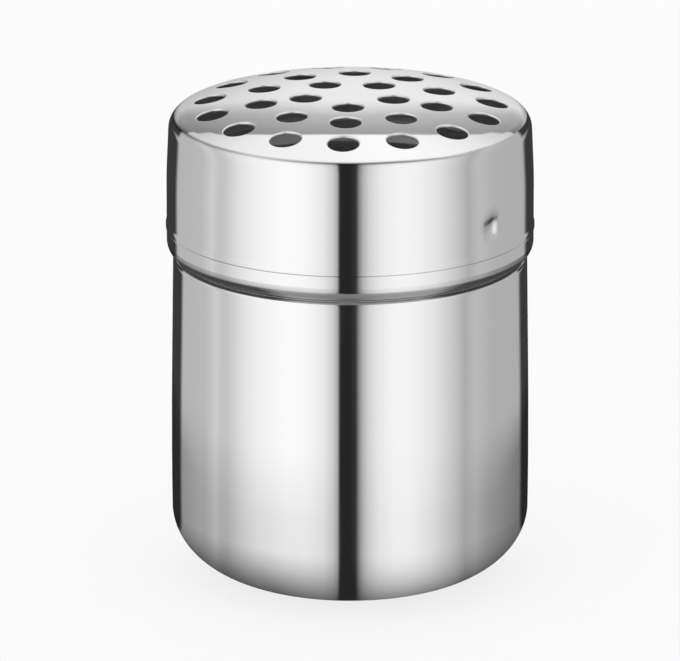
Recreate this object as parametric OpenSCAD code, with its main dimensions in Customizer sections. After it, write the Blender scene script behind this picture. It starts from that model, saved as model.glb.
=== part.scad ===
// Spice shaker with a perforated lift-off lid, drawn from polished stainless sheet.
// Millimetres, +Z up, origin at the centre of the base, front along -Y.

/* [Container] */
// Outside diameter of the straight side
body_d = 68.6; // [50:0.1:110]
// Thickness of the container's sheet
wall = 0.5; // [0.4:0.05:0.6]
// How far the base corner reaches in from the side
corner_reach = 18; // [8:0.5:22]
// How high the base corner reaches up the side
corner_rise = 13.6; // [6:0.2:20]
// How far the side draws in at the base corner
corner_in = 0.07; // [0.02:0.01:0.3]
// Height above the corner over which it does
corner_run = 10.4; // [4:0.2:14]
// Height of the shoulder at the top of the side
shoulder_z = 63.5; // [56:0.1:120]
// How far the side draws in at the shoulder
shoulder_in = 0.4; // [0.1:0.05:0.4]
// Height over which the side draws in
shoulder_run = 30; // [10:0.5:33]

/* [Stop bead] */
// Depth of the groove under the bead, from the side
groove_in = 1.8; // [1.8:0.05:2]
// How far the bead stands out from the side
bead_out = 0.8; // [0.7:0.05:1.2]
// Height of the bead, groove to seat
bead_h = 5.7; // [5:0.1:12]
// Lean of the bead's underside at the groove, off the vertical
bead_lean = 70; // [60:1:71]

/* [Neck] */
// Height of the neck above the lid's seat
neck_h = 11.3; // [10.5:0.1:12.2]
// Width of the channels that let the lugs in
channel_w = 6; // [5.8:0.1:7]

/* [Lid] */
// Height of the lid, lip to top of the dome
lid_h = 25.8; // [22:0.1:45]
// Thickness of the lid's sheet
lid_wall = 0.5; // [0.4:0.05:0.7]
// Gap between the neck and the lid's skirt
skirt_gap = 0.3; // [0.2:0.05:0.5]
// How far the dome drops from its middle to the skirt
dome_drop = 4.2; // [2:0.1:6]
// Radius of the edge between dome and skirt
edge_radius = 3.1; // [1.5:0.1:5]
// How far the skirt draws in towards the dome
skirt_in = 0.5; // [0.1:0.05:0.8]
// Height over which the skirt draws in
skirt_run = 11.3; // [6:0.1:12.5]
// How far the lip stands out from the skirt
lip_out = 0.17; // [0.1:0.01:0.4]
// Height of the lip
lip_h = 0.7; // [0.5:0.05:1.5]

/* [Lugs] */
// Width of the dimples pressed into the skirt
dimple_w = 5; // [4:0.1:5.4]
// Height of the dimples above the lip
dimple_z = 6.2; // [5:0.1:6.6]
// Direction of the first dimple, from +X
dimple_angle = -39.7; // [-180:0.1:180]
// How far the lugs reach in past the neck's side
lug_in = 0.5; // [0.4:0.05:0.6]
// Gap between the lugs and the floor of the channels
lug_gap = 0.3; // [0.25:0.05:0.4]

/* [Holes] */
// Diameter of the holes
hole_d = 5.9; // [2:0.1:7]
// Radius of each ring of holes
ring_radii = [8.8, 17.6, 27.1]; // [5:0.1:30]
// Holes in each ring
ring_counts = [5, 10, 15]; // [1:1:15]
// Direction of the first hole of each ring, from +X
first_hole = -92.8; // [-180:0.1:180]

/* [Hidden] */
$fn = 120;
steel = "silver";
bend_step = 7.5;
corner_steps = 14;
dome_steps = 10;
lugs = 2;
past = 1;

// Bends of the container's outer face, and how much of the room for the side's bend stays straight
side_straight = 0.1;
shoulder_bend = 1;
groove_bend = 0.07;
groove_land = 0.1;
seat_bend = 0.5;
neck_bend = 0.15;
lug_groove_bend = 0.6;

// The dome is flat in its middle: it drops with this power of the distance from the axis
dome_power = 3;

// Bends of the lid's outer face, and how much of the lip's slope stays straight between its two
edge_land = 0.5;
skirt_bend = 90;
lip_straight = 0.75;

body_r = body_d / 2;
seat_z = shoulder_z + bead_h;
neck_top = seat_z + neck_h;
lug_z = seat_z + dimple_z;

// The lugs' groove round the neck lies a touch deeper than their channels, so the channels run out into it
groove_extra = 0.1;
channel_in = lug_in + lug_gap;
lug_groove_in = channel_in + groove_extra;
lug_groove_half = channel_w / 2;
lug_groove_floor = 1;

skirt_r = body_r + skirt_gap + lid_wall;
edge_r = skirt_r - skirt_in;
dome_top = seat_z + lid_h;
dimple_in = skirt_gap + lug_in;
dimple_r = (pow(dimple_w / 2, 2) + pow(dimple_in, 2)) / (2 * dimple_in);
channel_r = (pow(channel_w / 2, 2) + pow(channel_in, 2)) / (2 * channel_in);

function unit(v) = v / norm(v);
function left(v) = [-v[1], v[0]];
function turned(v, a) = [v[0] * cos(a) - v[1] * sin(a), v[0] * sin(a) + v[1] * cos(a)];
function place(p) = [p[0], p[1]];

// Directions of a line at its corner i: it leaves the axis square, and ends as its last stretch runs
function into(line, i) = i == 0 ? [1, 0] : unit(place(line[i]) - place(line[i - 1]));
function out(line, i) =
    i == 0 || i == len(line) - 1 ? into(line, i) : unit(place(line[i + 1]) - place(line[i]));

// The same line moved d to its left, with each bend's radius grown or shrunk to match
function beside(line, d) = [
    for (i = [0:len(line) - 1])
        let (
            a = left(into(line, i)),
            b = left(out(line, i)),
            p = place(line[i]) + d * (a + b) / (1 + a * b),
            turn = cross(a, b),
            bend = line[i][2]
        )
        [p[0], p[1], bend == 0 ? 0 : max(turn > 0 ? bend - d : bend + d, 0)]
];

// The points of a line [x, z, bend radius], with an arc at each corner that has a radius
function drawn(line) = [
    for (i = [0:len(line) - 1])
        let (
            a = into(line, i),
            b = out(line, i),
            turn = atan2(cross(a, b), a * b),
            bend = line[i][2],
            start = place(line[i]) - a * bend * tan(abs(turn) / 2),
            middle = start + left(a) * sign(turn) * bend,
            steps = max(1, ceil(abs(turn) / bend_step))
        )
        each bend == 0 ? [place(line[i])]
            : [for (k = [0:steps]) middle + turned(start - middle, turn * k / steps)]
];

function reversed(p) = [for (i = [len(p) - 1:-1:0]) p[i]];

// Outline of a sheet of thickness t that lies on the left of the line, or on its right where t is negative
function sheet(line, t) = concat(drawn(line), reversed(drawn(beside(line, t))));

// Elliptical corner between the flat base and the side
function base_corner() = [
    for (k = [0:corner_steps])
        let (a = 90 * k / corner_steps)
        [body_r - corner_in - corner_reach * (1 - sin(a)), corner_rise * (1 - cos(a)), 0]
];

// Outer face of the neck round the lugs' groove
function lug_groove() = [
    [body_r, lug_z - lug_groove_half, lug_groove_bend],
    [body_r - lug_groove_in, lug_z - lug_groove_floor, lug_groove_bend],
    [body_r - lug_groove_in, lug_z + lug_groove_floor, lug_groove_bend],
    [body_r, lug_z + lug_groove_half, lug_groove_bend],
];

// Outer face of the container, from the middle of the base to the rim. The bead's underside is one
// round stretch, but for a short straight land at the groove
function container_line() =
    let (
        corner_bend = pow(corner_run, 2) / (2 * corner_in),
        side_room = shoulder_z - shoulder_run - corner_rise - corner_run,
        side_reach = min(side_room * (1 - side_straight), shoulder_run / 2),
        side_bend = side_reach / tan(atan(shoulder_in / shoulder_run) / 2),
        bead_r = body_r + bead_out,
        reach = groove_in + bead_out,
        groove_tangent = groove_bend * tan((90 + bead_lean) / 2),
        bead_bend = (reach / sin(bead_lean) - groove_tangent - groove_land) / tan(bead_lean / 2)
    )
    concat(
        [[0, 0, 0]],
        base_corner(),
        [
            [body_r, corner_rise + corner_run / 2, corner_bend],
            [body_r, shoulder_z - shoulder_run, side_bend],
            [body_r - shoulder_in, shoulder_z, shoulder_bend],
            [body_r - groove_in, shoulder_z, groove_bend],
            [bead_r, shoulder_z + reach / tan(bead_lean), bead_bend],
            [bead_r, seat_z, seat_bend],
            [body_r, seat_z, neck_bend],
        ],
        lug_groove(),
        [[body_r, neck_top, 0]]
    );

function dome_z(x) = dome_top - dome_drop * pow(x / edge_r, dome_power);

// Outer face of the lid, from the top of the dome to the lip
function lid_line() =
    let (
        dome_r = edge_r - edge_radius - edge_land,
        edge_z = dome_z(edge_r),
        lip_r = skirt_r + lip_out,
        lip_bend = norm([lip_out, lip_h]) * (1 - lip_straight) / 2 / tan(atan(lip_out / lip_h) / 2)
    )
    concat(
        [for (k = [0:dome_steps]) let (x = dome_r * sqrt(k / dome_steps)) [x, dome_z(x), 0]],
        [
            [edge_r, edge_z, edge_radius],
            [skirt_r, edge_z - skirt_run, skirt_bend],
            [skirt_r, seat_z + 2 * lip_h, lip_bend],
            [lip_r, seat_z + lip_h, lip_bend],
            [lip_r, seat_z, 0],
        ]
    );

module around(count, first) {
    for (k = [0:count - 1])
        rotate([0, 0, first + 360 * k / count])
            children();
}

// Upright rod whose flank makes the channels, or with extra = wall the sheet behind them
module channel_rod(extra, top) {
    around(lugs, dimple_angle)
        translate([body_r - channel_in + channel_r, 0, lug_z])
            cylinder(r = channel_r + extra, h = top - lug_z);
}

module container() color(steel) {
    difference() {
        union() {
            rotate_extrude()
                polygon(sheet(container_line(), wall));
            intersection() {
                channel_rod(wall, neck_top);
                cylinder(r = body_r - wall / 2, h = neck_top);
            }
        }
        channel_rod(0, neck_top + past);
        rotate_extrude()
            polygon(concat(
                drawn(concat([[body_r + past, lug_z - lug_groove_half, 0]], lug_groove())),
                [[body_r + past, lug_z + lug_groove_half]]
            ));
    }
}

module dimple(extra) {
    around(lugs, dimple_angle)
        translate([skirt_r - dimple_in + dimple_r, 0, lug_z])
            sphere(r = dimple_r + extra);
}

module lid() color(steel) {
    difference() {
        union() {
            rotate_extrude()
                polygon(sheet(lid_line(), -lid_wall));
            intersection() {
                dimple(lid_wall);
                translate([0, 0, seat_z])
                    cylinder(r = skirt_r - lid_wall / 2, h = lid_h);
            }
        }
        dimple(0);
        for (i = [0:len(ring_radii) - 1])
            around(ring_counts[i], first_hole)
                translate([ring_radii[i], 0, dome_z(ring_radii[i] + hole_d / 2) - lid_wall - past])
                    cylinder(d = hole_d, h = lid_h);
    }
}

container();
lid();
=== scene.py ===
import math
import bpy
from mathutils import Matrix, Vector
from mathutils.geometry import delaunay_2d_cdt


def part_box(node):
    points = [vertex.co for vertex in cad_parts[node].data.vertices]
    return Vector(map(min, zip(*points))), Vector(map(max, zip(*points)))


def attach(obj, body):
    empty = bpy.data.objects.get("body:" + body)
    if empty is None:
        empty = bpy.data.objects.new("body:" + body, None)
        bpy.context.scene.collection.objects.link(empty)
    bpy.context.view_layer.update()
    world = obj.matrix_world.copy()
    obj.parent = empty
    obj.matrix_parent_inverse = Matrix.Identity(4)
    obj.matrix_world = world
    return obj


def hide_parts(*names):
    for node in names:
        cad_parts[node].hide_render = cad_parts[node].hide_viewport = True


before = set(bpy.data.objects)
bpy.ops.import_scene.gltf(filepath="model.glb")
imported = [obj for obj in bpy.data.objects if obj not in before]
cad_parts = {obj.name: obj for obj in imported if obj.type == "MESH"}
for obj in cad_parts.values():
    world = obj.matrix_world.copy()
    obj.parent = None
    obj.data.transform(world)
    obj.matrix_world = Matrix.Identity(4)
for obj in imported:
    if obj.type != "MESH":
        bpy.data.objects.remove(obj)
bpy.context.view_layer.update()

# A polished steel spice shaker: a drawn container and its perforated, domed lid.
# Lengths are in metres. The container and the lid are turned sheets, so each is drawn as a line of
# corners (radius, height, bend radius) in the half plane through the axis, and swept round it.

MM = 0.001
_, can_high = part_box("container")
lid_low, lid_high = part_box("lid")

# ---------------------------------------------------------------- sizes

WALL = 0.5 * MM                     # sheet of both pieces
SHEET_ROUND = 0.08 * MM             # corners of a sheet's cut edge

BEAD_R = can_high.x                 # stop bead
BEAD_OUT = 0.8 * MM                 # the bead stands out from the side
BODY_R = BEAD_R - BEAD_OUT
CORNER_REACH = 18 * MM              # base corner, inwards
CORNER_RISE = 13.6 * MM             # base corner, upwards
CORNER_IN = 0.07 * MM               # the side draws in a touch above the corner
CORNER_RUN = 10.4 * MM
SEAT_Z = lid_low.z                  # the lid's lip stands here on the bead
SEAT_BEND = 0.5 * MM
BEAD_H = 5.7 * MM                   # from the groove under the bead up to the seat
BEAD_LEAN = math.radians(70)        # underside of the bead at the groove, off the vertical
SHOULDER_Z = SEAT_Z - BEAD_H
SHOULDER_IN = 0.4 * MM
SHOULDER_RUN = 30 * MM
SHOULDER_BEND = 1 * MM
SIDE_STRAIGHT = 0.1                 # of the room that the side's bend has
GROOVE_IN = 1.8 * MM
GROOVE_BEND = 0.07 * MM
GROOVE_LAND = 0.1 * MM
NECK_BEND = 0.15 * MM
RIM_Z = can_high.z

LUG_Z = SEAT_Z + 6.2 * MM           # dimples, and the groove that they turn in
LUG_ANGLE = math.radians(-39.7)     # first dimple, from +X; the other is opposite
LUG_GROOVE_IN = 0.9 * MM
LUG_GROOVE_FLOOR = 1 * MM
LUG_GROOVE_BEND = 0.6 * MM
CHANNEL_IN = 0.8 * MM               # channels that let the dimples in
CHANNEL_HALF = 3 * MM
CHANNEL_R = (CHANNEL_HALF ** 2 + CHANNEL_IN ** 2) / (2 * CHANNEL_IN)
CHANNEL_BLEND = 0.25 * MM           # rounds the edges of the channels

DOME_TOP = lid_high.z
DOME_DROP = 4.2 * MM                # from its middle to the skirt
DOME_POWER = 3                      # the drop grows with this power of the radius
LIP_R = lid_high.x
LIP_OUT = 0.17 * MM
LIP_H = 0.7 * MM
LIP_STRAIGHT = 0.75                 # of the lip's slope, between its two bends
SKIRT_R = LIP_R - LIP_OUT
SKIRT_IN = 0.5 * MM
SKIRT_RUN = 11.3 * MM
SKIRT_BEND = 90 * MM
EDGE_R = SKIRT_R - SKIRT_IN
EDGE_BEND = 3.1 * MM
EDGE_LAND = 0.5 * MM                # straight stretch between the dome and that bend

DIMPLE_IN = 0.55 * MM
DIMPLE_LEAN = math.radians(5)       # up to the right
DIMPLE_MIDDLE = -0.3 * MM           # sideways from LUG_ANGLE
DIMPLE_LEFT = 2.5 * MM              # how far it reaches from there
DIMPLE_RIGHT = 1.8 * MM
DIMPLE_TOP = 1.65 * MM
DIMPLE_BOTTOM = -3.3 * MM
DIMPLE_POWER = 1.8                  # how fast it shallows to the left and right
TOP_RUN = 1.2 * MM                  # heights over which it deepens
BOTTOM_RUN = 2.3 * MM
HALO_REACH = 4.2 * MM               # faint sink of the sheet round the dimple
HALO_IN = 0.03 * MM

HOLE_R = 2.95 * MM
HOLE_RINGS = [(8.8 * MM, 5), (17.6 * MM, 10), (27.1 * MM, 15)]
FIRST_HOLE = math.radians(-92.8)
PUNCH_ROUND = 0.3 * MM              # edge that the punch rolls over, on the outside
PUNCH_BURR = 0.06 * MM              # edge on the inside
HOLE_LAND = 0.3 * MM                # least width of the dome outside the holes
DOME_REACH = HOLE_RINGS[-1][0] + HOLE_R + PUNCH_ROUND + HOLE_LAND

# Mesh fineness
BEND_STEP = math.radians(4)         # outer faces
INNER_STEP = math.radians(8)
COARSE = math.radians(2.5)          # columns round the axis
FINE = math.radians(0.25)
FINE_REACH = math.radians(7)
CORNER_STEPS = 30
EDGE_STEPS = 4
NECK_ROW = 0.35 * MM
SKIRT_ROW = 0.1 * MM
INNER_ROW = 0.2 * MM
HOLE_POINTS = 72
PUNCH_STEPS = 5
GRID = 1.5 * MM                     # between the dome's points, away from its holes
RIM_CLEAR = 0.5 * GRID
HOLE_CLEAR = 0.45 * GRID
SAME_PLACE = 1e-9
UPRIGHT = 0.2                       # least sideways part of the normal where the sheet is pressed in

# ---------------------------------------------------------------- turned sheets


def unit(v):
    return v / v.length


def left(v):
    return Vector((-v.y, v.x))


def turned(v, a):
    return Vector((v.x * math.cos(a) - v.y * math.sin(a), v.x * math.sin(a) + v.y * math.cos(a)))


def turn_between(a, b):
    return math.atan2(a.x * b.y - a.y * b.x, a.dot(b))


def directions(line, i):
    """Directions of a line into and out of its corner i. It leaves the axis square."""
    here = Vector(line[i][:2])
    if i == 0:
        return Vector((1, 0)), Vector((1, 0))
    into = unit(here - Vector(line[i - 1][:2]))
    if i == len(line) - 1:
        return into, into
    return into, unit(Vector(line[i + 1][:2]) - here)


def beside(line, d):
    """The line moved d to its left, with each bend's radius grown or shrunk to match."""
    moved = []
    for i, (x, z, bend) in enumerate(line):
        a, b = directions(line, i)
        here = Vector((x, z)) + d * (left(a) + left(b)) / (1 + a.dot(b))
        if bend:
            bend = max(bend - d if turn_between(a, b) > 0 else bend + d, 0)
        moved.append((here.x, here.y, bend))
    return moved


def drawn(line, side, bend_step=BEND_STEP):
    """Points of a line as (x, z, normal x, normal z). side is 1 for a face on the line's left."""
    points = []
    for i, (x, z, bend) in enumerate(line):
        a, b = directions(line, i)
        here = Vector((x, z))
        turn = turn_between(a, b)
        if not bend:
            n = unit(left(a) + left(b)) * side
            points.append((here.x, here.y, n.x, n.y))
            continue
        start = here - a * bend * math.tan(abs(turn) / 2)
        middle = start + left(a) * math.copysign(bend, turn)
        steps = max(2, math.ceil(abs(turn) / bend_step))
        for k in range(steps + 1):
            p = middle + turned(start - middle, turn * k / steps)
            n = left(turned(a, turn * k / steps)) * side
            points.append((p.x, p.y, n.x, n.y))
    return points


def finer(points, low, high, step):
    """The same points, with the stretches that reach between the heights low and high cut into steps."""
    made = [points[0]]
    for p, q in zip(points, points[1:]):
        near = max(p[1], q[1]) > low and min(p[1], q[1]) < high
        cuts = max(1, math.ceil(abs(q[1] - p[1]) / step)) if near else 1
        for k in range(1, cuts + 1):
            made.append(tuple(a + (b - a) * k / cuts for a, b in zip(p, q)))
    return made


def columns():
    """Angles round the axis: fine near the two dimples and channels, coarse elsewhere."""
    angles = []
    fine = round(2 * FINE_REACH / FINE)
    coarse = round((math.pi - 2 * FINE_REACH) / COARSE)
    for half in (0, math.pi):
        start = LUG_ANGLE + half - FINE_REACH
        angles += [start + 2 * FINE_REACH * k / fine for k in range(fine)]
        start += 2 * FINE_REACH
        angles += [start + (math.pi - 2 * FINE_REACH) * k / coarse for k in range(coarse)]
    return angles


COLUMNS = columns()


def across(angle):
    """Angle from the nearer dimple's direction."""
    a = (angle - LUG_ANGLE) % math.pi
    return a if a < math.pi / 2 else a - math.pi


class Skin:
    """A mesh in the making, with a true normal at every point."""

    def __init__(self):
        self.points, self.normals, self.faces, self.slots = [], [], [], []

    def point(self, p, n):
        self.points.append(Vector(p))
        self.normals.append(Vector(n).normalized())
        return len(self.points) - 1

    def face(self, corners, slot):
        """A face that looks the way its points' normals do."""
        a, b, c = (self.points[i] for i in corners[:3])
        outwards = sum((self.normals[i] for i in corners), Vector((0, 0, 0)))
        if (b - a).cross(c - a).dot(outwards) < 0:
            corners = corners[::-1]
        self.faces.append(tuple(corners))
        self.slots.append(slot)

    def ring(self, x, z, nx, nz, dent):
        """A ring of points round the axis. dent(angle, x, z) is how far the sheet is pressed in there."""
        made = []
        tiny = 0.002 * MM
        upright = abs(nx) > UPRIGHT
        for a in COLUMNS:
            c, s = math.cos(a), math.sin(a)
            r, n = x, Vector((nx * c, nx * s, nz))
            if upright and dent(a, x, z) > 0:
                r = x - dent(a, x, z)
                slope = -nz / nx
                round_it = (dent(a + tiny / x, x, z) - dent(a - tiny / x, x, z)) / (2 * tiny)
                above = dent(a, x + slope * tiny, z + tiny)
                up_it = (above - dent(a, x - slope * tiny, z - tiny)) / (2 * tiny)
                out, along = Vector((c, s, 0)), Vector((-s, c, 0))
                n = (out + along * round_it + Vector((0, 0, 1)) * (up_it - slope)) * math.copysign(1, nx)
            made.append(self.point((r * c, r * s, z), n))
        return made

    def band(self, a, b, slot):
        for k in range(len(a)):
            m = (k + 1) % len(a)
            self.face((a[k], a[m], b[m], b[k]), slot)

    def bands(self, rings, slot):
        for a, b in zip(rings, rings[1:]):
            self.band(a, b, slot)

    def cut_edge(self, a, b, way, slot):
        """The sheet's cut edge, from ring a on one face to ring b on the other. way is 1 if it looks up."""
        rings = []
        up = Vector((0, 0, way))
        for side in (1, -1):
            for k in range(1, EDGE_STEPS + 1):
                t = math.pi / 2 * (k / EDGE_STEPS if side == 1 else 1 - (k - 1) / EDGE_STEPS)
                ring = []
                for i, j in zip(a, b):
                    middle = (self.points[i] + self.points[j]) / 2
                    half = (self.points[i] - self.points[j]) / 2
                    out = half.normalized() * side
                    n = out * math.cos(t) + up * math.sin(t)
                    p = middle + out * (half.length - SHEET_ROUND) + n * SHEET_ROUND
                    ring.append(self.point(p, n))
                rings.append(ring)
        self.bands([a, *rings, b], slot)

    def piece(self, name, body, node, materials):
        mesh = bpy.data.meshes.new(name)
        mesh.from_pydata(self.points, [], self.faces)
        for m in materials:
            mesh.materials.append(m)
        mesh.polygons.foreach_set("material_index", self.slots)
        mesh.polygons.foreach_set("use_smooth", [True] * len(self.faces))
        mesh.normals_split_custom_set_from_vertices(self.normals)
        mesh.update()
        obj = bpy.data.objects.new(name, mesh)
        bpy.context.scene.collection.objects.link(obj)
        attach(obj, body)
        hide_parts(node)


# ---------------------------------------------------------------- materials

OUTSIDE, INSIDE, PUNCHED = 0, 1, 2  # material slots of a piece

STEEL = 0.82                        # shades
SATIN = 0.7
# The next three are painted shade: the dark spot in each dimple, the lighter grey under the bead at the
# front and back, and the dark under it at the sides
DIMPLE_SPOT_SHADE = 0.06
GROOVE_SHADE_LIGHT = 0.5
GROOVE_SHADE_DARK = 0.12

LINES = (60, 60, 9000)              # polishing lines a metre, along X, Y and Z
LINE_DETAIL = 4
FAINT_LINE = 0.00002 * MM
DEEP_LINE = 0.0002 * MM
MARKS = 70                          # wiping marks a metre
MARK_DETAIL = 5
MARK_LOW, MARK_HIGH = 0.35, 0.75    # of their noise, from the smoothest to the roughest

DULL = 0.4                          # roughness of the groove
DULL_AND_SHADE_TOP = 2 * MM                   # heights above the shoulder between which dullness and painted shade end
DULL_AND_SHADE_END = 2.4 * MM
LIGHT_SHADE_AT = 2 * MM                  # middle of the stretches, front and back, where the painted shade is lighter, in X
LIGHT_SHADE_HALF = 11 * MM
DARK_SHADE_FROM = 15.5 * MM
SHADE_LEAN = 2.2                   # how much they widen with the height

SPOT_AT = (-0.55 * MM, 1 * MM)      # painted shade on the dimple's steep upper side, from the dimple's place
SPOT_LEAN = math.radians(14)
SPOT_LEFT = 1.25 * MM
SPOT_RIGHT = 1.05 * MM
SPOT_DOWN = 0.8 * MM
SPOT_UP = 1.05 * MM


class Nodes:
    """Adds nodes to a material's tree or to the world's. A value is a number, a vector or a socket."""

    def __init__(self, tree):
        self.tree = tree
        self.link = tree.links.new

    def add(self, kind, **settings):
        node = self.tree.nodes.new(kind)
        for key, value in settings.items():
            setattr(node, key, value)
        return node

    def put(self, socket, value):
        if isinstance(value, (int, float, tuple)):
            socket.default_value = value
        else:
            self.link(value, socket)

    def fed(self, node, values):
        for socket, value in zip(node.inputs, values):
            self.put(socket, value)
        return node

    def math(self, operation, *values):
        return self.fed(self.add("ShaderNodeMath", operation=operation), values).outputs[0]

    def vector(self, operation, *values):
        return self.fed(self.add("ShaderNodeVectorMath", operation=operation), values).outputs["Vector"]

    def dot(self, *values):
        return self.fed(self.add("ShaderNodeVectorMath", operation="DOT_PRODUCT"), values).outputs["Value"]

    def split(self, vector):
        return self.fed(self.add("ShaderNodeSeparateXYZ"), [vector]).outputs

    def mix(self, factor, a, b):
        node = self.add("ShaderNodeMix", data_type="FLOAT")
        for socket, value in ((0, factor), (2, a), (3, b)):
            self.put(node.inputs[socket], value)
        return node.outputs[0]

    def spread(self, value, low, high, first=0, last=1):
        """Grows from first to last while the value grows from low to high."""
        node = self.add("ShaderNodeMapRange")
        self.link(value, node.inputs["Value"])
        for name, number in (("From Min", low), ("From Max", high), ("To Min", first), ("To Max", last)):
            node.inputs[name].default_value = number
        return node.outputs["Result"]

    def ramp(self, value, stops):
        """A level that follows a value, from a list of (value, level)."""
        low, high = stops[0][0], stops[-1][0]
        node = self.add("ShaderNodeValToRGB")
        elements = node.color_ramp.elements
        while len(elements) < len(stops):
            elements.new(1)
        for element, (at, level) in zip(elements, stops):
            element.position = (at - low) / (high - low)
            element.color = (level, level, level, 1)
        self.link(self.spread(value, low, high), node.inputs["Fac"])
        return node.outputs["Color"]

    def noise(self, where, scale, detail):
        node = self.add("ShaderNodeTexNoise")
        self.link(where, node.inputs["Vector"])
        node.inputs["Scale"].default_value = scale
        node.inputs["Detail"].default_value = detail
        return node.outputs["Fac"]


def new_material(name):
    material = bpy.data.materials.new(name)
    material.use_nodes = True
    tree = material.node_tree
    return material, Nodes(tree), tree.nodes["Principled BSDF"]


def steel(name, colour, smooth, rough, line_depth, shade_and_finish=None):
    """Stainless sheet, with fine polishing lines round the axis and faint wiping marks. The function given
    last, where there is one, gives painted shade as the colour and may change the roughness."""
    material, nodes, shader = new_material(name)
    shader.inputs["Metallic"].default_value = 1
    shader.inputs["Base Color"].default_value = (colour, colour, colour, 1)
    where = nodes.add("ShaderNodeTexCoord").outputs["Object"]
    flat = nodes.add("ShaderNodeMapping")
    flat.inputs["Scale"].default_value = LINES
    nodes.link(where, flat.inputs["Vector"])
    bump = nodes.add("ShaderNodeBump")
    bump.inputs["Strength"].default_value = 1
    bump.inputs["Distance"].default_value = line_depth
    nodes.link(nodes.noise(flat.outputs["Vector"], 1, LINE_DETAIL), bump.inputs["Height"])
    nodes.link(bump.outputs["Normal"], shader.inputs["Normal"])
    marks = nodes.noise(where, MARKS, MARK_DETAIL)
    roughness = nodes.spread(marks, MARK_LOW, MARK_HIGH, smooth, rough)
    if shade_and_finish:
        shade, roughness = shade_and_finish(nodes, where, roughness)
        nodes.link(shade, shader.inputs["Base Color"])
    nodes.link(roughness, shader.inputs["Roughness"])
    return material


def groove_dullness_and_shade(nodes, where, roughness):
    """The polishing wheel doesn't reach under the bead, which stays dull. There the colour is painted shade,
    dark at the sides and a lighter grey at the front and the back."""
    x, _, z = nodes.split(where)
    up = nodes.math("SUBTRACT", z, SHOULDER_Z)
    dull_here = nodes.ramp(up, [(-0.15 * MM, 0), (-0.05 * MM, 1), (DULL_AND_SHADE_TOP, 1), (DULL_AND_SHADE_END, 0)])
    shade_here = nodes.ramp(up, [(0.03 * MM, 0), (0.1 * MM, 1), (DULL_AND_SHADE_TOP, 1), (DULL_AND_SHADE_END, 0)])
    aside = nodes.math("ABSOLUTE", nodes.math("SUBTRACT", x, LIGHT_SHADE_AT))
    aside = nodes.math("SUBTRACT", aside, nodes.math("MULTIPLY", up, SHADE_LEAN))
    groove_shade = nodes.ramp(aside, [(LIGHT_SHADE_HALF, GROOVE_SHADE_LIGHT), (DARK_SHADE_FROM, GROOVE_SHADE_DARK)])
    dull = nodes.math("MULTIPLY", dull_here, DULL)
    return nodes.mix(shade_here, STEEL, groove_shade), nodes.math("MAXIMUM", roughness, dull)


def dimple_painted_shade(nodes, where, roughness):
    """Painted shade: a dark spot where the punch bit deepest into each dimple, fading out above and beside
    it.
    """
    def share(distance, before, after):
        """A distance from the spot's middle, as a share of the spot's reach to that side."""
        back, ahead = nodes.math("DIVIDE", distance, -before), nodes.math("DIVIDE", distance, after)
        return nodes.math("MAXIMUM", back, ahead)

    c, s = math.cos(LUG_ANGLE), math.sin(LUG_ANGLE)
    side = nodes.math("SIGN", nodes.dot(where, (c, s, 0)))
    u = nodes.math("MULTIPLY", nodes.dot(where, (-s, c, 0)), side)
    u = nodes.math("SUBTRACT", u, SPOT_AT[0])
    w = nodes.math("SUBTRACT", nodes.dot(where, (0, 0, 1)), LUG_Z + SPOT_AT[1])
    w = nodes.math("SUBTRACT", w, nodes.math("MULTIPLY", u, math.tan(SPOT_LEAN)))
    u, w = share(u, SPOT_LEFT, SPOT_RIGHT), share(w, SPOT_DOWN, SPOT_UP)
    spot = nodes.math("ADD", nodes.math("MULTIPLY", u, u), nodes.math("MULTIPLY", w, w))
    shade = nodes.ramp(nodes.math("SQRT", spot), [
        (0, DIMPLE_SPOT_SHADE), (0.3, DIMPLE_SPOT_SHADE), (0.6, 0.25), (0.9, 0.47), (1.3, 0.58), (1.7, 0.67), (2.1, 0.74),
        (2.8, STEEL),
    ])
    return shade, roughness


# The container's steel carries painted shade under the bead, and the lid's steel a painted dark spot in each
# dimple
can_steel = steel("can_steel", STEEL, smooth=0.03, rough=0.07, line_depth=FAINT_LINE, shade_and_finish=groove_dullness_and_shade)
lid_steel = steel("lid_steel", STEEL, smooth=0.03, rough=0.07, line_depth=FAINT_LINE, shade_and_finish=dimple_painted_shade)
satin = steel("satin_steel", SATIN, smooth=0.42, rough=0.55, line_depth=DEEP_LINE)
punched = steel("punched_steel", STEEL, smooth=0.32, rough=0.4, line_depth=DEEP_LINE)

# ---------------------------------------------------------------- container


def base_corner():
    """Elliptical corner between the flat base and the side."""
    for k in range(CORNER_STEPS + 1):
        a = math.pi / 2 * k / CORNER_STEPS
        yield (BODY_R - CORNER_IN - CORNER_REACH * (1 - math.sin(a)), CORNER_RISE * (1 - math.cos(a)), 0)


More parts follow.
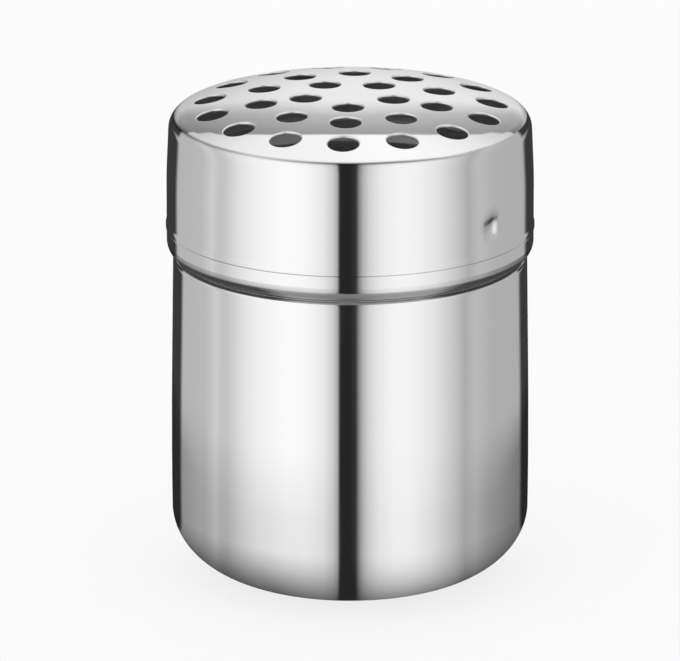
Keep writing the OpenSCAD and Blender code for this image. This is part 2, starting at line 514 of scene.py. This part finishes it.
def container_line():
    """Outer face of the container, from the middle of the base to the rim."""
    side_room = SHOULDER_Z - SHOULDER_RUN - CORNER_RISE - CORNER_RUN
    side_reach = min(side_room * (1 - SIDE_STRAIGHT), SHOULDER_RUN / 2)
    side_bend = side_reach / math.tan(math.atan(SHOULDER_IN / SHOULDER_RUN) / 2)
    reach = GROOVE_IN + BEAD_OUT
    groove_tangent = GROOVE_BEND * math.tan((math.pi / 2 + BEAD_LEAN) / 2)
    bead_bend = (reach / math.sin(BEAD_LEAN) - groove_tangent - GROOVE_LAND) / math.tan(BEAD_LEAN / 2)
    groove_r = BODY_R - LUG_GROOVE_IN
    return [
        (0, 0, 0),
        *base_corner(),
        (BODY_R, CORNER_RISE + CORNER_RUN / 2, CORNER_RUN ** 2 / (2 * CORNER_IN)),
        (BODY_R, SHOULDER_Z - SHOULDER_RUN, side_bend),
        (BODY_R - SHOULDER_IN, SHOULDER_Z, SHOULDER_BEND),
        (BODY_R - GROOVE_IN, SHOULDER_Z, GROOVE_BEND),
        (BEAD_R, SHOULDER_Z + reach / math.tan(BEAD_LEAN), bead_bend),
        (BEAD_R, SEAT_Z, SEAT_BEND),
        (BODY_R, SEAT_Z, NECK_BEND),
        (BODY_R, LUG_Z - CHANNEL_HALF, LUG_GROOVE_BEND),
        (groove_r, LUG_Z - LUG_GROOVE_FLOOR, LUG_GROOVE_BEND),
        (groove_r, LUG_Z + LUG_GROOVE_FLOOR, LUG_GROOVE_BEND),
        (BODY_R, LUG_Z + CHANNEL_HALF, LUG_GROOVE_BEND),
        (BODY_R, RIM_Z - SHEET_ROUND, 0),
    ]


def channel_dent(behind):
    """How far the neck is pressed in at the channels; behind is 0 outside and the wall inside."""
    def dent(angle, x, z):
        u = BODY_R * math.sin(across(angle))
        r = CHANNEL_R + behind
        if z < LUG_Z or abs(u) >= r:
            return 0
        floor = BODY_R - CHANNEL_IN + CHANNEL_R - math.sqrt(r * r - u * u)
        d = x - floor
        if d < -CHANNEL_BLEND:
            return 0
        return (d + CHANNEL_BLEND) ** 2 / (4 * CHANNEL_BLEND) if d < CHANNEL_BLEND else d
    return dent


def container():
    skin = Skin()
    low = LUG_Z - 0.2 * MM              # just under the foot of the channels
    outer = finer(drawn(container_line(), -1), low, RIM_Z, NECK_ROW)
    inner = finer(drawn(beside(container_line(), WALL), 1, INNER_STEP), low, RIM_Z, NECK_ROW)
    ends = []
    for points, behind, slot, way in ((outer, 0, OUTSIDE, -1), (inner, WALL, INSIDE, 1)):
        middle = skin.point((0, 0, points[0][1]), (0, 0, way))
        dent = channel_dent(behind)
        rings = [skin.ring(*p, dent) for p in points[1:]]
        for k in range(len(COLUMNS)):
            skin.face((middle, rings[0][k], rings[0][(k + 1) % len(COLUMNS)]), slot)
        skin.bands(rings, slot)
        ends.append(rings[-1])
    skin.cut_edge(*ends, 1, OUTSIDE)
    skin.piece("container_shell", "container", "container", [can_steel, satin])


# ---------------------------------------------------------------- lid


def dome_z(x):
    """Height of the dome's outer face at a radius."""
    return DOME_TOP - DOME_DROP * (x / EDGE_R) ** DOME_POWER


def dome_normal(p):
    slope = DOME_POWER * DOME_DROP * p.length ** (DOME_POWER - 2) / EDGE_R ** DOME_POWER
    return Vector((p.x * slope, p.y * slope, 1)).normalized()


def lid_line():
    """Outer face of the lid, from the top of the dome to the lip."""
    edge_z = dome_z(EDGE_R)
    dome_r = EDGE_R - EDGE_BEND - EDGE_LAND
    lip_bent = math.hypot(LIP_OUT, LIP_H) * (1 - LIP_STRAIGHT) / 2
    lip_bend = lip_bent / math.tan(math.atan(LIP_OUT / LIP_H) / 2)
    return [
        (0, DOME_TOP, 0),
        (DOME_REACH, dome_z(DOME_REACH), 0),
        (dome_r, dome_z(dome_r), 0),
        (EDGE_R, edge_z, EDGE_BEND),
        (SKIRT_R, edge_z - SKIRT_RUN, SKIRT_BEND),
        (SKIRT_R, SEAT_Z + 2 * LIP_H, lip_bend),
        (LIP_R, SEAT_Z + LIP_H, lip_bend),
        (LIP_R, SEAT_Z + SHEET_ROUND, 0),
    ]


def eased(t):
    """Grows smoothly from 0 to 1 while t does."""
    t = min(max(t, 0), 1)
    return t * t * (3 - 2 * t)


def dimple_dent(angle, x, z):
    """How far the skirt is pressed in at the dimples."""
    at = Vector((SKIRT_R * across(angle), z - LUG_Z))
    halo = at.length / HALO_REACH
    if halo >= 1:
        return 0
    u = at.x - DIMPLE_MIDDLE
    w = at.y - u * math.tan(DIMPLE_LEAN)
    over = max(1 - (u / (DIMPLE_RIGHT if u > 0 else DIMPLE_LEFT)) ** 2, 0) ** DIMPLE_POWER
    up = eased((DIMPLE_TOP - w) / TOP_RUN) * eased((w - DIMPLE_BOTTOM) / BOTTOM_RUN)
    return DIMPLE_IN * over * up + HALO_IN * (1 - halo ** 2) ** 2


def hole_centres():
    for radius, count in HOLE_RINGS:
        for k in range(count):
            a = FIRST_HOLE + 2 * math.pi * k / count
            yield Vector((radius * math.cos(a), radius * math.sin(a)))


def dome_plan():
    """The dome seen from above: points, triangles, and the points round its edge and round each hole."""
    points = [Vector((DOME_REACH * math.cos(a), DOME_REACH * math.sin(a))) for a in COLUMNS]
    edge = list(range(len(points)))
    loops = [edge]
    centres = list(hole_centres())
    hole_edge = HOLE_R + PUNCH_ROUND
    for c in centres:
        first = len(points)
        for k in range(HOLE_POINTS):
            a = 2 * math.pi * k / HOLE_POINTS
            points.append(c + hole_edge * Vector((math.cos(a), math.sin(a))))
        loops.append(list(range(first, len(points))))
    row_gap = GRID * math.sqrt(3) / 2
    rows = math.ceil(DOME_REACH / row_gap)
    for j in range(-rows, rows + 1):
        for i in range(-rows, rows + 1):
            p = Vector((GRID * (i + (j % 2) / 2), row_gap * j))
            inside = p.length < DOME_REACH - RIM_CLEAR
            if inside and all((p - c).length > hole_edge + HOLE_CLEAR for c in centres):
                points.append(p)
    edges = [(a, b) for loop in loops for a, b in zip(loop, loop[1:] + loop[:1])]
    _, _, found, origin, _, _ = delaunay_2d_cdt(points, edges, [], 0, SAME_PLACE)
    ring_of = {v: n for n, loop in enumerate(loops[1:]) for v in loop}
    triangles = []
    for f in found:
        f = [origin[v][0] for v in f]
        if len({ring_of.get(v, -1 - v) for v in f}) > 1:    # else it lies in a hole
            triangles.append(f)
    return points, triangles, edge, loops[1:], centres


def hole_wall(skin, centre):
    """Rings down a hole's rolled outer edge, its wall and its inner edge."""
    stations = []                       # how much wider, how deep, and the normal's parts
    for k in range(1, PUNCH_STEPS + 1):
        up, inwards = math.cos(math.pi / 2 * k / PUNCH_STEPS), math.sin(math.pi / 2 * k / PUNCH_STEPS)
        stations.append((PUNCH_ROUND * (1 - inwards), PUNCH_ROUND * (1 - up), up, inwards))
    for k in range(PUNCH_STEPS):
        down, inwards = math.sin(math.pi / 2 * k / PUNCH_STEPS), math.cos(math.pi / 2 * k / PUNCH_STEPS)
        stations.append((PUNCH_BURR * (1 - inwards), WALL - PUNCH_BURR * (1 - down), -down, inwards))
    for wider, deep, up, inwards in stations:
        ring = []
        for k in range(HOLE_POINTS):
            t = 2 * math.pi * k / HOLE_POINTS
            way = Vector((math.cos(t), math.sin(t)))
            p = centre + (HOLE_R + wider) * way
            n = dome_normal(p) * up - Vector((way.x, way.y, 0)) * inwards
            ring.append(skin.point((p.x, p.y, dome_z(p.length) - deep), n))
        yield ring


def lid():
    skin = Skin()
    low, high = LUG_Z - HALO_REACH, LUG_Z + HALO_REACH
    outer = finer(drawn(lid_line(), 1), low, high, SKIRT_ROW)
    inner = finer(drawn(beside(lid_line(), -WALL), -1, INNER_STEP), low, high, INNER_ROW)
    plan, triangles, edge, holes, centres = dome_plan()
    ends, hole_rings = [], [[] for _ in centres]
    for points, deep, slot, way in ((outer, 0, OUTSIDE, 1), (inner, WALL, INSIDE, -1)):
        at = []
        for p in plan:
            n = dome_normal(p)
            at.append(skin.point((*p, dome_z(p.length) - deep / n.z), n * way))
        for f in triangles:
            skin.face([at[v] for v in f], slot)
        # The line's first two points are the middle of the dome and its edge
        rings = [[at[v] for v in edge]] + [skin.ring(*p, dimple_dent) for p in points[2:]]
        skin.bands(rings, slot)
        ends.append(rings[-1])
        for made, hole in zip(hole_rings, holes):
            made.append([at[v] for v in hole])
    skin.cut_edge(*ends, -1, OUTSIDE)
    for (top, bottom), centre in zip(hole_rings, centres):
        skin.bands([top, *hole_wall(skin, centre), bottom], PUNCHED)
    skin.piece("lid_shell", "lid", "lid", [lid_steel, satin, punched])


container()
lid()

# ---------------------------------------------------------------- floor, light and camera

EYE_RISE = math.radians(16.8)       # how far above the horizon the eye looks down from
TO_EYE = (0, -math.cos(EYE_RISE), math.sin(EYE_RISE))

FLOOR_HALF = 4                      # metres
FLOOR_Z = -0.05 * MM                # a hair under the base, so that the two don't flicker
FLOOR_SHADE = 0.985
FLOOR_ROUGH = 0.8
FLOOR_SHARE = 0.25                  # of the floor's own shade, over the white behind it

GAP_DARK = 0.022                    # the dark gap between the soft boxes
BACK_DARK = 0.045                   # the dark behind the screens
WALL_LEAN = 2 / 3                   # 1 would make the walls' edges upright


def floor():
    mesh = bpy.data.meshes.new("floor")
    corners = [(x * FLOOR_HALF, y * FLOOR_HALF, FLOOR_Z) for x, y in ((-1, -1), (1, -1), (1, 1), (-1, 1))]
    mesh.from_pydata(corners, [], [(0, 1, 2, 3)])
    material, nodes, shader = new_material("pale_floor")
    shader.inputs["Base Color"].default_value = (FLOOR_SHADE, FLOOR_SHADE, FLOOR_SHADE, 1)
    shader.inputs["Roughness"].default_value = FLOOR_ROUGH
    clear = nodes.add("ShaderNodeBsdfTransparent")
    mix = nodes.fed(nodes.add("ShaderNodeMixShader"), [FLOOR_SHARE, clear.outputs[0], shader.outputs[0]])
    nodes.link(mix.outputs[0], nodes.tree.nodes["Material Output"].inputs["Surface"])
    mesh.materials.append(material)
    obj = bpy.data.objects.new("floor", mesh)
    bpy.context.scene.collection.objects.link(obj)
    obj.visible_glossy = False


def studio():
    """Soft boxes in front and overhead, as a world that metal shows. A place in the studio is named by the
    direction (x, y, z) in which a mirror on the table faces to show it to an eye in front."""
    world = bpy.data.worlds.new("studio")
    bpy.context.scene.world = world
    world.use_nodes = True
    world.node_tree.nodes.clear()
    sky = Nodes(world.node_tree)
    where = sky.add("ShaderNodeTexCoord").outputs["Generated"]
    x, y, z = sky.split(sky.vector("NORMALIZE", sky.vector("ADD", where, TO_EYE)))
    flat = sky.math("SUBTRACT", 1, sky.math("MULTIPLY", z, z))
    flat = sky.math("SQRT", sky.math("MAXIMUM", flat, 0.0001))
    azimuth_sine = sky.math("DIVIDE", x, flat)

    # Walls: two tall soft boxes with a dark gap between them, grey screens beside them, dark behind
    side = sky.math("DIVIDE", x, sky.math("POWER", flat, WALL_LEAN))
    walls = sky.ramp(side, [
        (-1, BACK_DARK), (-0.95, BACK_DARK), (-0.937, 0.54), (-0.81, 0.585), (-0.75, 0.74), (-0.72, 0.66),
        (-0.69, 0.655), (-0.6, 0.91), (-0.51, 1.07), (-0.36, 1.17), (-0.24, 1.13), (-0.15, 0.98),
        (-0.1, 0.76), (-0.07, 0.5), (-0.06, GAP_DARK), (0, GAP_DARK), (0.035, 0.045), (0.045, 0.25),
        (0.07, 0.54), (0.1, 0.76), (0.16, 0.98), (0.25, 1.1), (0.34, 1.09), (0.46, 0.956), (0.58, 0.68),
        (0.64, 0.5), (0.7, 0.6), (0.79, 0.52), (0.944, 0.49), (0.957, BACK_DARK), (1, BACK_DARK),
    ])
    # Just under the horizon they darken, most at the sides, and then fade towards the floor
    dip = sky.ramp(z, [(-0.05, 1), (-0.014, 0.85), (0, 0)])
    left_over = sky.ramp(azimuth_sine, [
        (-1, 0.5), (-0.93, 0.56), (-0.85, 0.68), (-0.65, 0.72), (-0.5, 0.76), (-0.2, 0.855), (0, 0.9),
        (0.2, 0.935), (0.35, 0.935), (0.5, 0.87), (0.65, 0.85), (0.75, 0.655), (0.82, 0.57), (0.93, 0.39),
        (1, 0.35),
    ])
    fade_left = sky.ramp(z, [
        (-1, 0.05), (-0.8, 0.19), (-0.6, 0.375), (-0.4, 0.613), (-0.2, 0.84), (-0.05, 1),
    ])
    fade_right = sky.ramp(z, [(-1, 0.12), (-0.8, 0.36), (-0.6, 0.61), (-0.4, 0.8), (-0.2, 0.93), (-0.05, 1)])
    fade = sky.mix(sky.ramp(azimuth_sine, [(-0.5, 0), (0.1, 1)]), fade_left, fade_right)
    below = sky.math("MULTIPLY", fade, sky.mix(dip, 1.0, left_over))
    walls = sky.math("MAXIMUM", sky.math("MULTIPLY", walls, below), GAP_DARK)
    # The dark behind them stays as wide further up, at both sides
    far_side = sky.ramp(sky.math("ABSOLUTE", azimuth_sine), [(0.942, 0), (0.955, 1)])
    far_side = sky.math("MULTIPLY", far_side, sky.ramp(z, [(0.3, 0), (0.5, 1)]))
    walls = sky.mix(far_side, walls, BACK_DARK)

    # Overhead: a soft box in front, and behind it a ceiling that brightens towards the back
    box = sky.ramp(azimuth_sine, [
        (-1, 0.5), (-0.92, 0.66), (-0.79, 0.85), (-0.7, 0.97), (-0.58, 1.03), (-0.33, 1.08), (0, 1.13),
        (0.33, 1.17), (0.5, 1.13), (0.62, 1.07), (0.75, 0.98), (0.87, 0.8), (0.95, 0.65), (1, 0.55),
    ])
    bow = sky.ramp(sky.math("ABSOLUTE", x), [
        (0, 0.157), (0.035, 0.158), (0.073, 0.16), (0.125, 0.162), (0.187, 0.158), (0.234, 0.15),
        (0.273, 0.139), (0.301, 0.129), (0.5, 0.2), (1, 0.4),
    ])
    behind_box = sky.math("ADD", y, bow)
    ceiling = sky.ramp(behind_box, [
        (0, 0.4), (0.015, 0.42), (0.06, 0.5), (0.106, 0.6), (0.135, 0.787), (0.153, 0.908), (0.162, 0.976),
        (0.187, 0.956), (0.242, 0.865), (0.334, 0.75), (0.5, 0.6), (1.2, 0.4),
    ])
    ceiling = sky.math("MULTIPLY", ceiling, sky.ramp(x, [
        (-1, 0.4), (-0.5, 0.5), (-0.29, 0.68), (-0.147, 0.85), (-0.037, 0.97), (0, 1), (0.103, 1),
        (0.29, 0.88), (0.5, 0.6), (1, 0.45),
    ]))
    overhead = sky.mix(sky.ramp(behind_box, [(-0.003, 0), (0.003, 1)]), box, ceiling)
    seen_in_metal = sky.mix(sky.ramp(z, [(0.72, 0), (0.77, 1)]), walls, overhead)

    # A dark frame runs between the walls and what is overhead
    lower = sky.ramp(azimuth_sine, [(0.25, 0), (0.46, 0.04), (0.6, 0.1)])
    frame_line = sky.ramp(sky.math("ADD", z, lower), [
        (0.6, 0), (0.67, 0.25), (0.72, 0.9), (0.745, 1), (0.775, 0.8), (0.82, 0.15), (0.86, 0),
    ])
    depth = sky.ramp(azimuth_sine, [
        (-1, 0.75), (-0.92, 0.7), (-0.86, 0.55), (-0.68, 0.55), (-0.57, 0.42), (-0.46, 0.46), (-0.29, 0.62),
        (-0.11, 0.78), (0.12, 0.78), (0.29, 0.75), (0.46, 0.6), (0.6, 0.33), (0.7, 0),
    ])
    shade = sky.math("SUBTRACT", 1, sky.math("MULTIPLY", frame_line, depth))
    seen_in_metal = sky.math("MULTIPLY", seen_in_metal, shade)

    # The camera sees white, and what is dull is lit evenly
    rays = sky.add("ShaderNodeLightPath")
    even = sky.mix(rays.outputs["Is Diffuse Ray"], seen_in_metal, 1.0)
    level = sky.mix(rays.outputs["Is Camera Ray"], even, 1.0)
    background = sky.add("ShaderNodeBackground")
    background.inputs["Strength"].default_value = 1
    out = sky.add("ShaderNodeOutputWorld")
    sky.link(level, background.inputs["Color"])
    sky.link(background.outputs[0], out.inputs["Surface"])


def camera():
    """Long lens, straight in front of the object and a little above it."""
    distance = 1.96
    aim = Vector((-1.945 * MM, 0, 48 * MM))
    data = bpy.data.cameras.new("camera")
    data.sensor_width = 36
    data.lens = 540.8
    obj = bpy.data.objects.new("camera", data)
    bpy.context.scene.collection.objects.link(obj)
    obj.location = aim + distance * Vector(TO_EYE)
    obj.rotation_euler = (math.pi / 2 - EYE_RISE, 0, 0)
    data.clip_start = 0.1
    data.clip_end = 20
    bpy.context.scene.camera = obj


floor()
studio()
camera()
bpy.context.scene.view_settings.view_transform = "Standard"
